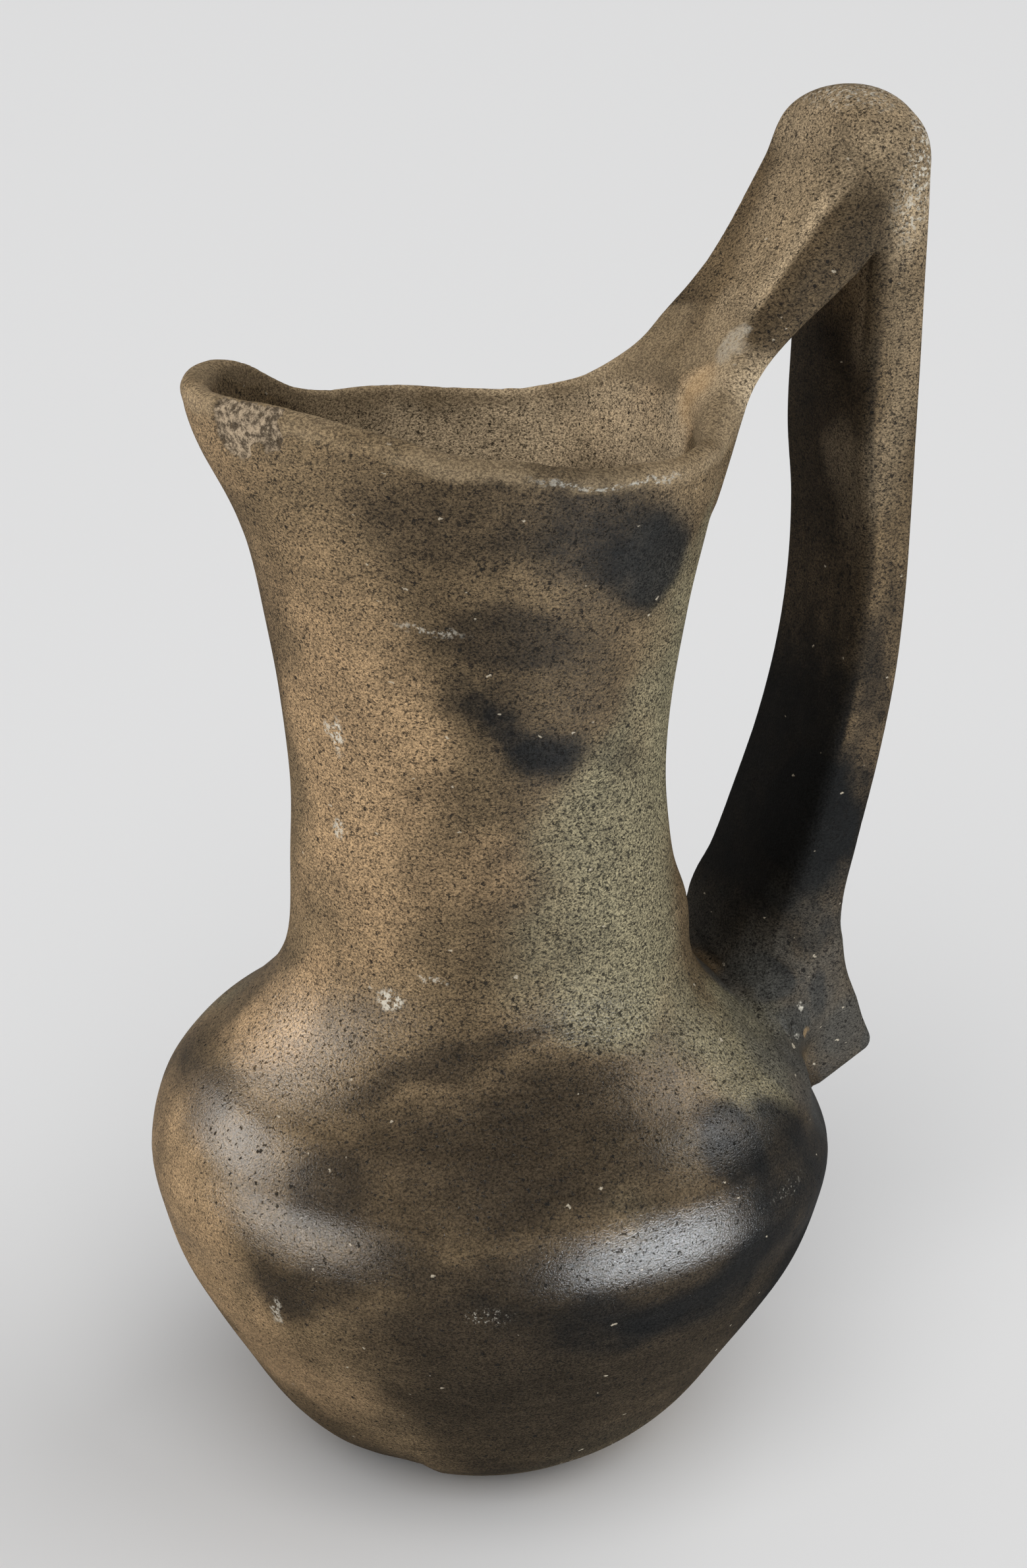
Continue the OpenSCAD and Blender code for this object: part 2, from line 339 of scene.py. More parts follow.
# folds: points, depth (a ridge is negative) and half width
FOLDS = [
    (np.array([[74.3, 14.6, 130.1], [71.1, -2.7, 127.2], [68.1, -17.8, 125.8], [71.3, -25.4, 122], [71.2, -40.2, 117.6],
               [73.2, -49.3, 111.4], [78.1, -50, 105.8]]), 0.55, 1.3),
    (np.array([[73.5, -22.5, 124], [75.3, -29.9, 119.5], [75.5, -39.5, 114.6], [76.8, -46.8, 109.6], [80, -49, 104]]), -0.5, 1.4),
    (np.array([[75.5, -23, 125], [78, -30, 118.5], [79, -38, 113.4], [80.5, -45, 107.5]]), 0.5, 1.2),
    (np.array([[80, -24.5, 124], [82.5, -31, 115.5], [84.5, -36, 109]]), 0.35, 1.6),
    (np.array([[64, -24, 128], [63, -36, 123], [64, -46, 118]]), 0.3, 1.5)]


# where the upper limb laps over the lower one at the bend, on the near side
LAP = np.array([[94, -23.2, 318.5], [97.2, -22.8, 323.2], [99.7, -22.6, 325], [103.8, -22.6, 330.2], [107.2, -22.4, 336.5], [108.5, -22.2, 341]])


def clay(P):
    """Signed distance to the whole pitcher, in mm."""
    d = wall_part(P)
    near = (P[:, 0] > 35) & (np.abs(P[:, 1]) < 62) & (P[:, 2] > 70)
    N = P[near]
    if len(N):
        up = limb_part(N, UP_MAPS, True)
        low = limb_part(N, LOW_MAPS, False)
        x, y, z = N[:, 0], N[:, 1], N[:, 2]
        low = smax(low, 0.463 * (x - 105) - 0.886 * (z - 92), 5)
        # the near inner edge is wiped smooth where the handle meets the shoulder
        wipe = -0.7 * (x - np.interp(z, INNER[:, 0], INNER[:, 1])) - 0.71 * (y + 24) + 9 * smooth(158, 130, z)
        low = smax(low, wipe, 8)
        # the near top edge is soft where the handle leaves the rim, and the crown of the bend is domed
        soft = -0.54 * x - 0.71 * y + 0.45 * z - 119.1 - 0.27 * (77.4 - x)
        up = smax(up, soft + 4 * smooth(328, 314, z) * smooth(282, 296, z), 6)
        h = smin(up, low, 2.2 + 7 * smooth(334, 352, z))
        at = (z > 310) & (z < 348) & (y < -15)
        if at.any():
            lap = strand(LAP, N[at])
            h[at] = h[at] + 1.5 * np.exp(-(lap / 1.5) ** 2)
        crown = (np.hypot(y / (24.5 + 12 * smooth(338, 302, z)), np.maximum(z - 343, 0) / 26) - 1) * 22
        h = smax(h, crown, 4)
        foot = smooth(62, 78, x) * smooth(152, 128, z) * smooth(99, 116, z)
        k = 3.0 + 14.0 * foot + 7.0 * smooth(240, 285, z)
        joined = smin(d[near], h, k)
        # folds where the foot's clay was pressed into the shoulder
        at = (x > 55) & (z > 95) & (z < 142) & (y < 25)
        F = N[at]
        if len(F):
            fold = np.zeros(len(F))
            for K, deep, wide in FOLDS:
                fold = fold + deep * np.exp(-(strand(K, F) / wide) ** 2)
            joined[at] = joined[at] + fold * (1 + 0.5 * noise(F, 4, 6.1))
        d[near] = joined
    return d


def slope(P, e=0.25):
    g = np.empty_like(P)
    for c in range(3):
        s = np.zeros(3)
        s[c] = e
        g[:, c] = (clay(P + s) - clay(P - s)) / (2 * e)
    return g


def settle(P, times=2, cap=1.5):
    """Moves points onto the clay's surface."""
    for _ in range(times):
        g = slope(P)
        n2 = np.maximum((g * g).sum(1), 0.2)
        step = g * (clay(P) / n2)[:, None]
        L = np.maximum(np.linalg.norm(step, axis=1), 1e-9)
        P = P - step * np.minimum(1, cap / L)[:, None]
    return P


# ------------------------------------------------------------------ skin over the shape
H = 2.3


def surface_net():
    lo = np.array([-100.0, -104.0, -6.0])
    n = (np.ceil((np.array([128.0, 102.0, 374.0]) - lo) / H)).astype(int) + 1
    D = np.empty(tuple(n), np.float32)
    ys, zs = lo[1] + H * np.arange(n[1]), lo[2] + H * np.arange(n[2])
    Y, Z = np.meshgrid(ys, zs, indexing="ij")
    for i in range(n[0]):
        P = np.column_stack([np.full(Y.size, lo[0] + H * i), Y.ravel(), Z.ravel()])
        D[i] = clay(P).reshape(Y.shape)
    S = D < 0
    c = np.zeros(tuple(n - 1), np.uint8)
    for dx in (0, 1):
        for dy in (0, 1):
            for dz in (0, 1):
                c += S[dx:n[0] - 1 + dx, dy:n[1] - 1 + dy, dz:n[2] - 1 + dz]
    act = (c > 0) & (c < 8)
    idx = np.full(act.shape, -1, np.int64)
    cells = np.argwhere(act)
    idx[act] = np.arange(len(cells))
    corners = np.array([[x, y, z] for x in (0, 1) for y in (0, 1) for z in (0, 1)])
    vals = np.stack([D[tuple((cells + k).T)] for k in corners], 1)
    acc, cnt = np.zeros((len(cells), 3)), np.zeros(len(cells))
    for a in range(8):
        for b in range(a + 1, 8):
            if np.abs(corners[a] - corners[b]).sum() != 1:
                continue
            va, vb = vals[:, a], vals[:, b]
            m = (va < 0) != (vb < 0)
            t = va[m] / (va[m] - vb[m])
            acc[m] += corners[a] + t[:, None] * (corners[b] - corners[a])
            cnt[m] += 1
    V = lo + H * (cells + acc / cnt[:, None])
    quads = []
    for ax in range(3):
        a1, a2 = (ax + 1) % 3, (ax + 2) % 3
        s0 = np.take(S, range(0, n[ax] - 1), axis=ax)
        s1 = np.take(S, range(1, n[ax]), axis=ax)
        e = np.argwhere(s0 != s1)
        e = e[(e[:, a1] > 0) & (e[:, a2] > 0) & (e[:, a1] < n[a1] - 1) & (e[:, a2] < n[a2] - 1)]
        inside = s0[tuple(e.T)]
        o1, o2 = np.zeros(3, int), np.zeros(3, int)
        o1[a1] = 1
        o2[a2] = 1
        q = np.stack([idx[tuple((e - o1 - o2).T)], idx[tuple((e - o2).T)],
                      idx[tuple(e.T)], idx[tuple((e - o1).T)]], 1)
        q[~inside] = q[~inside][:, ::-1]
        quads.append(q)
    return V, np.concatenate(quads)


def relax(V, Q, rounds, amount=0.5):
    e = np.concatenate([Q[:, [0, 1]], Q[:, [1, 2]], Q[:, [2, 3]], Q[:, [3, 0]]])
    e = np.concatenate([e, e[:, ::-1]])
    n = np.maximum(np.bincount(e[:, 0], minlength=len(V)), 1)
    for _ in range(rounds):
        m = np.stack([np.bincount(e[:, 0], V[e[:, 1], c], len(V)) for c in range(3)], 1) / n[:, None]
        V = V + (m - V) * amount
        V = settle(V, 1)
    return V


V, Q = surface_net()
V = settle(V, 2)
V = relax(V, Q, 4)
V = settle(V, 2)

mesh = bpy.data.meshes.new("pitcher_clay")
mesh.vertices.add(len(V))
mesh.vertices.foreach_set("co", (V / 1000).ravel())
mesh.loops.add(Q.size)
mesh.loops.foreach_set("vertex_index", Q.ravel().astype(np.int32))
mesh.polygons.add(len(Q))
mesh.polygons.foreach_set("loop_start", np.arange(0, Q.size, 4, dtype=np.int32))
mesh.update(calc_edges=True)
mesh.validate()
pot = bpy.data.objects.new("pitcher_clay", mesh)
scene.collection.objects.link(pot)


def coords(me):
    co = np.empty(len(me.vertices) * 3)
    me.vertices.foreach_get("co", co)
    return co.reshape(-1, 3) * 1000


def set_coords(me, P):
    me.vertices.foreach_set("co", (P / 1000).ravel())
    me.update()


def is_hidden_inside(P):
    """Points on the inner wall, out of sight below the neck."""
    th, r = polar(P)
    q = (r - look_up(R_TAB, th, P[:, 2])) / look_up(G_TAB, th, P[:, 2])
    return (q < -4.0) & (P[:, 2] < 225) & (P[:, 2] > 8)


print("skin", len(V), "points", len(Q), "quads")


def finer(me, want):
    """Splits the faces whose points are all wanted, and lays the points on the clay again."""
    w = want(coords(me))
    b = bmesh.new()
    b.from_mesh(me)
    b.verts.ensure_lookup_table()
    b.edges.ensure_lookup_table()
    es = [e for e in b.edges if w[e.verts[0].index] and w[e.verts[1].index]]
    bmesh.ops.subdivide_edges(b, edges=es, cuts=1, use_grid_fill=True)
    b.to_mesh(me)
    b.free()
    p = coords(me)
    near = want(p)
    p[near] = settle(p[near], 3, 0.6)
    set_coords(me, p)


def at_lip(p):
    th, r = polar(p)
    return p[:, 2] > look_up1(HR_TAB, th) - 9


def at_flake(p):
    th, r = polar(p)
    out = r > look_up(R_TAB, th, p[:, 2]) - 4
    return out & (np.abs(th - 197) < 11) & (p[:, 2] > 283) & (p[:, 2] < 306)


def at_folds(p):
    return (p[:, 0] > 58) & (p[:, 2] > 98) & (p[:, 2] < 134) & (p[:, 1] < 20) & (p[:, 1] > -54)


def at_handle(p):
    th, r = polar(p)
    out = (r > look_up(R_TAB, th, p[:, 2]) + 0.8) | (p[:, 2] > look_up1(HR_TAB, th) + 0.5)
    return out & (p[:, 0] > 58) & (p[:, 2] > 90) & (np.abs(p[:, 1]) < 36)


finer(mesh, lambda p: at_lip(p) | at_flake(p) | at_folds(p) | at_handle(p))
finer(mesh, at_flake)
P = coords(mesh)
hid = is_hidden_inside(P)
bm = bmesh.new()
bm.from_mesh(mesh)
bm.verts.ensure_lookup_table()
for f in bm.faces:
    f.select = all(hid[v.index] for v in f.verts)
bm.to_mesh(mesh)
bm.free()
for o in bpy.context.view_layer.objects:
    o.select_set(False)
bpy.context.view_layer.objects.active = pot
pot.select_set(True)
bpy.ops.object.mode_set(mode="EDIT")
bpy.ops.mesh.select_mode(type="FACE")
bpy.ops.mesh.decimate(ratio=0.16)
bpy.ops.mesh.select_all(action="INVERT")
bpy.ops.object.mode_set(mode="OBJECT")
print("after thinning", len(mesh.vertices), "points", len(mesh.polygons), "faces")
mesh.calc_loop_triangles()
print("triangles", len(mesh.loop_triangles))
mesh.shade_smooth()

# ------------------------------------------------------------------ where the colours lie
# Each table gives clouds on the pot: the middle and half sizes in mm, how strong, and how soft the edge is.
WARM = [
    ((-46, -22, 205), (26, 30, 66), 0.85, 1), ((-58, -6, 136), (24, 26, 12), 0.8, 1), ((-90, 0, 84), (14, 38, 40), 0.6, 1),
    ((-76, -30, 44), (22, 26, 26), 0.6, 1), ((-20, -46, 183), (18, 14, 16), 0.5, 1), ((36, -68, 121), (18, 12, 9), 0.6, 1),
    ((56, -12, 290), (9, 10, 14), 1.0, 0.8), ((52, 16, 276), (12, 22, 14), 0.7, 1), ((30, 84, 70), (46, 22, 34), 0.7, 1),
    ((-30, 48, 200), (26, 18, 44), 0.7, 1), ((10, 40, 262), (36, 26, 20), 0.3, 1), ((-66, 2, 285), (12, 22, 16), 0.4, 1)]
OLIVE = [
    ((24, -58, 14), (46, 26, 14), 0.35, 1), ((24, -44, 176), (30, 22, 42), 0.9, 1), ((8, -50, 170), (24, 16, 36), 0.4, 1), ((38, -36, 218), (22, 20, 46), 1.0, 1), ((26, -52, 146), (32, 20, 16), 0.9, 1),
    ((66, -42, 120), (22, 24, 16), 1.0, 1), ((6, -80, 110), (30, 14, 14), 0.35, 1), ((40, -46, 262), (10, 14, 22), 0.7, 1), ((52, -54, 126), (30, 26, 18), 0.85, 1),
    ((20, 52, 170), (34, 20, 40), 0.8, 1), ((-60, 62, 100), (26, 24, 26), 0.6, 1)]
SMOKE = [
    ((100, -14, 92), (16, 26, 8), 0.8, 0.85), ((104, -24, 150), (8, 8, 18), 0.6, 0.85), ((-16, -88, 72), (40, 26, 12), 0.5, 0.85),
    ((-84, 2, 112), (16, 34, 15), 0.7, 1), ((-54, -74, 95), (28, 18, 6), 0.6, 0.85), ((-22, -46, 186), (24, 16, 30), 0.28, 1), ((2, -60, 266), (24, 14, 15), 0.5, 1), ((-20, -80, 80), (60, 26, 9), 0.4, 0.85),
    ((-16, -53, 246), (21, 10, 9), 0.8, 0.7), ((-20, -54, 230), (20, 10, 14), 0.5, 1), ((-28, -50, 139), (42, 16, 7), 0.75, 1),
    ((-20, -56, 278), (44, 16, 17), 0.6, 1), ((-4, -96, 70), (84, 62, 46), 1.0, 1), ((0, -90, 76), (70, 40, 30), 0.8, 1), ((70, -50, 50), (40, 50, 46), 0.9, 1), ((-26, -72, 114), (46, 20, 15), 0.6, 1),
    ((-64, -52, 110), (14, 15, 12), 0.8, 0.7), ((-76, -52, 88), (16, 18, 10), 0.8, 1), ((-40, -62, 127), (20, 16, 9), 0.4, 1),
    ((8, 86, 96), (60, 22, 26), 0.8, 1), ((70, 56, 60), (30, 34, 30), 0.7, 1), ((0, 52, 236), (34, 12, 14), 0.6, 1),
    ((116, -10, 205), (16, 24, 62), 0.6, 1), ((92, -22, 318), (22, 6, 16), 0.4, 1), ((0, -60, 8), (60, 30, 16), 0.5, 1),
    ((-10, -70, 118), (54, 24, 16), 0.7, 1), ((-12, -88, 88), (58, 26, 13), 0.85, 0.85), ((2, -84, 72), (66, 34, 16), 0.7, 0.85), ((-6, -64, 124), (34, 16, 9), 0.5, 0.85), ((-8, -80, 50), (72, 60, 46), 0.85, 1), ((6, -64, 20), (70, 54, 26), 0.35, 1), ((-54, -66, 100), (16, 16, 12), 0.7, 1), ((78, -46, 106), (22, 22, 16), 0.7, 1), ((-20, -82, 108), (34, 16, 9), 0.5, 1)]
BLACKS = [
    ((26, -53, 261), (12, 14, 12.5), 0.7, 0.5), ((21, -56, 262), (20, 16, 15), 0.85, 0.85), ((7, -58, 270), (22, 14, 14), 0.5, 0.85),
    ((-4, -51, 214), (13, 9, 9), 0.75, 0.85), ((-4, -51, 214), (8.5, 8, 5.5), 0.85, 0.8), ((-27, -45, 230), (6, 8, 5), 0.5, 0.85), ((-22, -47, 226.5), (5.5, 8, 4.2), 0.65, 0.85),
    ((-17, -49, 222.5), (5.5, 8, 4.2), 0.75, 0.85), ((-12, -50, 218.5), (5.5, 8, 4.2), 0.7, 0.85), ((6, -51, 207), (14, 8, 7), 0.4, 1),
    ((-12, -50, 196), (8, 8, 12), 0.3, 1), ((36, -77, 113), (11, 14, 14), 0.85, 0.8), ((50, -79, 101), (26, 24, 22), 0.9, 1), ((72, -60, 84), (26, 32, 34), 0.85, 1), ((24, -92, 82), (42, 16, 13), 0.8, 1), ((-10, -92, 78), (34, 14, 9), 0.6, 1), ((84, -40, 96), (16, 24, 14), 0.6, 1),
    ((62, -66, 60), (30, 30, 34), 0.9, 1), ((0, -93, 86), (74, 16, 8), 0.7, 1), ((94, -14, 172), (20, 26, 27), 1.0, 0.8),
    ((112, -22, 205), (8, 12, 34), 0.55, 1), ((80, -22, 128), (8, 8, 8), 0.95, 0.5), ((96, -18, 142), (14, 14, 18), 0.7, 1),
    ((86, -30, 117), (6, 8, 6), 0.8, 0.6), ((95, -26, 122), (5, 8, 8), 0.8, 0.6), ((116, -18, 99), (6, 20, 8), 0.8, 0.6),
    ((-60, 8, 294), (10, 16, 12), 0.85, 1), ((-44, 18, 290), (16, 16, 12), 0.6, 1), ((-34, 26, 284), (26, 18, 14), 0.6, 1), ((30, 50, 200), (16, 12, 18), 0.8, 1),
    ((-30, 86, 78), (26, 16, 20), 0.85, 1)]
# Pale clouds: those on the handle are paler clay; the broad ones on the inner far wall below the mouth are paler clay
# with painted light, and the narrow ones near (3, 56, 278) and (38, 42, 277) are painted highlight streaks.
PALES = [
    ((67, -7, 312), (14, 11, 12), 0.3, 0.85), ((22, 52, 278), (30, 14, 18), 0.5, 1), ((3, 56, 278), (7, 10, 14), 0.4, 0.8), ((38, 42, 277), (6, 10, 14), 0.5, 0.8),
    ((55, -12, 290), (13, 13, 15), 0.85, 1), ((60, -16, 300), (10, 8, 14), 0.5, 1), ((88, -6, 334), (26, 22, 26), 0.30, 1),
    ((108, -4, 350), (18, 28, 26), 0.42, 1), ((40, 34, 272), (40, 34, 28), 0.6, 1), ((38, 42, 276), (10, 12, 14), 0.5, 1),
    ((0, 54, 274), (44, 16, 18), 0.65, 1), ((54, 8, 280), (18, 24, 22), 0.6, 1), ((113, -16, 290), (12, 12, 50), 0.18, 1)]
GREYS = [((66, -18, 131), (10, 10, 9), 0.7, 0.85), ((72, -20, 134), (12, 14, 13), 0.7, 0.85), ((112, -10, 97), (12, 26, 9), 0.8, 1), ((104, -14, 140), (16, 20, 26), 0.5, 1), ((78, -50, 108), (20, 22, 18), 0.65, 1), ((108, -18, 106), (16, 26, 14), 0.7, 0.8), ((78, -38, 122), (24, 20, 16), 0.45, 0.6), ((100, -22, 118), (16, 14, 24), 0.55, 0.8), ((24, -54, 262), (15, 14, 15), 0.2, 0.6)]


def drift(P, size, far, seed):
    return np.stack([noise(P, size, seed + c * 3.7) for c in range(3)], 1) * far


def cloud(P, table, seed):
    wide = P + drift(P, 27, 13, seed) + drift(P, 11, 5, seed + 1.3)
    tight = P + drift(P, 9, 3.2, seed + 2.9)
    left = np.ones(len(P))
    for at, half, k, soft in table:
        Q = wide if soft > 0.85 else tight
        d = np.linalg.norm((Q - at) / half, axis=1)
        left *= 1 - k * smooth(1 + 0.22 * soft, 1 - 0.5 * soft, d)
    return 1 - left


def put_on(name, values):
    a = mesh.attributes.new(name, "FLOAT", "POINT")
    a.data.foreach_set("value", np.asarray(values, np.float32))


P = coords(mesh)
th, r = polar(P)
off = r - look_up(R_TAB, th, P[:, 2])
limb_share = smooth(0.5, 7, off) * smooth(52, 64, P[:, 0]) * smooth(88, 100, P[:, 2]) * (np.abs(P[:, 1]) < 40)
faces = np.empty(len(mesh.vertices) * 3, np.float32)
mesh.vertex_normals.foreach_get("vector", faces)
faces = faces.reshape(-1, 3)
# the handle's inner face, turned toward the neck, is darkened: fire clouding, and painted shade in the gap between
# handle and neck
soot_and_shade = limb_share * smooth(-0.15, -0.6, faces[:, 0]) * smooth(318, 300, P[:, 2])
# and its near side is browner than its top: partly the clay's own colour, partly painted shade on the face turned from
# the light
aside = limb_share * smooth(297, 309, P[:, 2]) * smooth(356, 338, P[:, 2]) * smooth(114, 104, P[:, 0])
facet = smooth(-15, -17.4, P[:, 1] + 0.8 * noise(P, 9, 4.4))
# the near side's painted shade goes into the same mask as the inner face's
soot_and_shade = np.maximum(soot_and_shade, 0.62 * aside * facet)
# a painted highlight line along the handle's near top edge
RIDGE_HIGHLIGHT = np.array([[66, -10, 308], [71, -12, 313.5], [81, -14, 325], [89, -14, 335.4], [97, -14, 343.5], [103, -14, 352]])
edge = 0.55 * aside * np.exp(-(strand(RIDGE_HIGHLIGHT, P) / 5.6) ** 2)
# the handle's foot is grey all round
foot = smooth(2.5, 7, off) * smooth(60, 68, P[:, 0]) * smooth(82, 88, P[:, 2]) * (np.abs(P[:, 1]) < 40)
foot = 0.85 * foot * smooth(158, 136, P[:, 2]) * (0.78 + 0.22 * noise(P, 8, 6.1))
# black on the inner face: fire clouding, laid through the mask that also holds the painted shade
burnt_and_shade = soot_and_shade * (0.12 + 0.8 * smooth(236, 200, P[:, 2]) * smooth(134, 150, P[:, 2]))
# Of the fields below, the dark brown one also takes the painted shade of the handle's inner face and near side, and the
# pale one the painted highlight line along the near top edge; pale is held off the shaded near side.
for name, table, seed, more in [("warm", WARM, 2.1, 0), ("olive", OLIVE, 5.4, 0), ("smoke_and_shade", SMOKE, 8.8, soot_and_shade * 0.84),
                                ("black", BLACKS, 12.3, burnt_and_shade),
                                ("grey", GREYS, 15.9, foot * (1 - np.maximum(cloud(P, BLACKS, 12.3), burnt_and_shade))), ("pale", PALES, 19.3, edge)]:
    field = np.maximum(cloud(P, table, seed), more)
    put_on(name, field * (1 - 0.95 * aside * facet) if name == "pale" else field)
put_on("rim", look_up1(HR_TAB, th) - P[:, 2])
put_on("limb", limb_share)
put_on("inner", smooth(-2.5, -4.5, off) * smooth(4, 12, P[:, 2]))
put_on("flake", np.where((off > -4.5) & (np.abs(th - 197) < 20) & (P[:, 2] > 270),
                         polygon(FLAKE, (th - 197) * 1.24, P[:, 2] - 293) + 0.7 * noise(P, 3.2, 1.9) + 0.35 * noise(P, 1.3, 5.1), 9))

# ------------------------------------------------------------------ the clay's look
# All places are in mm on the object. Colours are what the clay sends back, before any light, apart from the painted
# shade and painted highlights noted below.
mat = bpy.data.materials.new("clay")
mat.use_nodes = True
nt = mat.node_tree
nt.nodes.clear()


def node(kind, **settings):
    n = nt.nodes.new(kind)
    for k, v in settings.items():
        setattr(n, k, v)
    return n


def put(socket, v):
    if isinstance(v, bpy.types.NodeSocket):
        nt.links.new(v, socket)
    elif hasattr(v, "__len__") and len(v) == 3 and socket.type == "RGBA":
        socket.default_value = (*v, 1)
    else:
        socket.default_value = v


def num(op, a, b=None, c=None, clamp=False):
    n = node("ShaderNodeMath", operation=op, use_clamp=clamp)
    for i, v in enumerate((a, b, c)):
        if v is not None:
            put(n.inputs[i], v)
    return n.outputs[0]


def vec(op, a, b=None):
    n = node("ShaderNodeVectorMath", operation=op)
    put(n.inputs[0], a)
    if b is not None:
        put(n.inputs[3 if op == "SCALE" else 1], b)
    return n.outputs[1 if op == "LENGTH" else 0]


def span(x, a, b, lo=0.0, hi=1.0, kind="SMOOTHSTEP"):
    """lo at a and below, hi at b and above."""
    n = node("ShaderNodeMapRange", interpolation_type=kind, clamp=True)
    for i, v in enumerate((x, a, b, lo, hi)):
        put(n.inputs[i], v)
    return n.outputs[0]


def mist(v, size, detail=2.0, rough=0.5, twist=0.0, colour=False):
    n = node("ShaderNodeTexNoise")
    put(n.inputs["Vector"], v)
    n.inputs["Scale"].default_value = 1 / size
    n.inputs["Detail"].default_value = detail
    n.inputs["Roughness"].default_value = rough
    n.inputs["Distortion"].default_value = twist
    return n.outputs["Color" if colour else "Fac"]


def cells(v, size, jitter=1.0, what="Distance"):
    n = node("ShaderNodeTexVoronoi")
    put(n.inputs["Vector"], v)
    n.inputs["Scale"].default_value = 1 / size
    n.inputs["Randomness"].default_value = jitter
    return n


def blend(f, a, b, kind="MIX"):
    n = node("ShaderNodeMix", data_type="RGBA", blend_type=kind)
    put(n.inputs[0], f)
    put(n.inputs[6], a)
    put(n.inputs[7], b)
    return n.outputs[2]


def spot(v, at, r, turn=(0, 0, 0), inner=0.55, outer=1.15):
    """1 inside an ellipsoid, fading to 0 outside it."""
    n = node("ShaderNodeMapping", vector_type="TEXTURE")
    put(n.inputs[0], v)
    n.inputs[1].default_value = at
    n.inputs[2].default_value = [rad(t) for t in turn]
    n.inputs[3].default_value = r
    return span(vec("LENGTH", n.outputs[0]), outer, inner)


def join(masks):
    """Several masks together, each with its strength."""
    keep = None
    for m, k in masks:
        left = num("SUBTRACT", 1.0, num("MULTIPLY", m, k))
        keep = left if keep is None else num("MULTIPLY", keep, left)
    return num("SUBTRACT", 1.0, keep)


coord = node("ShaderNodeTexCoord").outputs["Object"]
mm = vec("SCALE", coord, 1000.0)
sep = node("ShaderNodeSeparateXYZ")
put(sep.inputs[0], mm)
X, Y, Z = sep.outputs


def shaken(amount, size, detail=3.0):
    w = vec("SUBTRACT", mist(mm, size, detail, 0.6, colour=True), (0.5, 0.5, 0.5))
    return vec("ADD", mm, vec("SCALE", w, amount))


sharp_at = shaken(7.0, 5.0)       # for marks with a ragged edge
ragged = num("SUBTRACT", mist(mm, 7.0, 5.0, 0.62), 0.5)


def mark(name):
    return node("ShaderNodeAttribute", attribute_name=name, attribute_type="GEOMETRY").outputs["Fac"]


def feather(name, rag):
    """A cloud with a finely broken edge."""
    m = mark(name)
    edge = num("MULTIPLY", num("MULTIPLY", m, num("SUBTRACT", 1.0, m)), 4 * rag)
    return num("ADD", m, num("MULTIPLY", edge, ragged), clamp=True)


limb, inside = mark("limb"), mark("inner")

BUFF, MID, OLIVE = (0.143, 0.099, 0.053), (0.074, 0.051, 0.027), (0.150, 0.128, 0.076)
BROWN, BLACK, GREY = (0.020, 0.0145, 0.0090), (0.0055, 0.0055, 0.0052), (0.046, 0.044, 0.038)
PALE = (0.420, 0.322, 0.205)

wide = mist(vec("MULTIPLY", mm, (1, 1, 0.7)), 62.0, 3.0, 0.55)
colour = blend(span(wide, 0.36, 0.64), MID, BUFF)

warm, olive, smoky_and_shaded, black = feather("warm", 0.8), feather("olive", 0.8), feather("smoke_and_shade", 0.9), feather("black", 1.0)
colour = blend(warm, colour, (0.262, 0.174, 0.093))
colour = blend(olive, colour, OLIVE)
# brown fire clouding, with the painted shade of the handle's inner face and near side
colour = blend(num("MULTIPLY", smoky_and_shaded, 0.93), colour, BROWN)
colour = blend(black, colour, BLACK)
colour = blend(mark("grey"), colour, GREY)
# pale clay, with painted light and painted highlight streaks on the inner far wall and a painted highlight line along
# the handle's near top edge
colour = blend(mark("pale"), colour, PALE)

# broad mottling and the streaks left by the burnishing stone
mottle = mist(mm, 15.0, 4.0, 0.62)
colour = blend(1.0, colour, span(mottle, 0.28, 0.72, 0.80, 1.20, "LINEAR"), "MULTIPLY")
across = vec("MULTIPLY", mm, (0.10, 0.10, 1.15))
along = vec("MULTIPLY", mm, (1.0, 0.9, 0.12))
way = node("ShaderNodeMix", data_type="VECTOR")
put(way.inputs[0], limb)
put(way.inputs[4], across)
put(way.inputs[5], along)
streak = mist(way.outputs[1], 2.2, 3.0, 0.6)
colour = blend(1.0, colour, span(streak, 0.3, 0.7, 0.86, 1.13, "LINEAR"), "MULTIPLY")

# grain: a salt-and-pepper of fine temper, with open pits
flat = vec("MULTIPLY", mm, (0.85, 0.85, 1.2))
grain = mist(flat, 0.58, 2.0, 0.75)
fine = mist(mm, 0.30, 1.0, 0.6)
gritty = num("MULTIPLY_ADD", mark("olive"), 0.45, num("MULTIPLY_ADD", limb, 0.1, span(Z, 112.0, 140.0, 0.12, 0.5)), clamp=True)
lively = num("MULTIPLY", span(gritty, 0.0, 1.0, 0.6, 1.0, "LINEAR"), span(limb, 0.0, 1.0, 1.0, 0.9, "LINEAR"))
speckle = span(grain, 0.35, 0.64, 0.16, 1.95, "LINEAR")
speckle = num("MULTIPLY", speckle, span(fine, 0.3, 0.7, 0.78, 1.22, "LINEAR"))
colour = blend(lively, colour, blend(1.0, colour, speckle, "MULTIPLY"))
pit_noise = mist(flat, 0.95, 2.0, 0.7)
pits = span(num("SUBTRACT", pit_noise, span(gritty, 0.0, 1.0, 0.355, 0.425, "LINEAR")), 0.012, -0.03)
hole_c = cells(shaken(1.2, 0.8, 1.0), 3.3)
pick = node("ShaderNodeSeparateColor")
put(pick.inputs[0], hole_c.outputs["Color"])
hole_r = span(pick.outputs[0], 0.30, 1.0, 0.10, 0.55, "LINEAR")
holes = span(num("SUBTRACT", num("MULTIPLY", hole_c.outputs["Distance"], 3.3), num("MULTIPLY", hole_r, span(fine, 0.3, 0.7, 0.6, 1.4, "LINEAR"))), 0.10, -0.10)
holes = num("MULTIPLY", holes, span(pick.outputs[0], 0.42, 0.48))
dark = num("MAXIMUM", num("MULTIPLY", pits, 0.85), holes)
colour = blend(num("MULTIPLY", dark, 0.9), colour, (0.009, 0.008, 0.007))

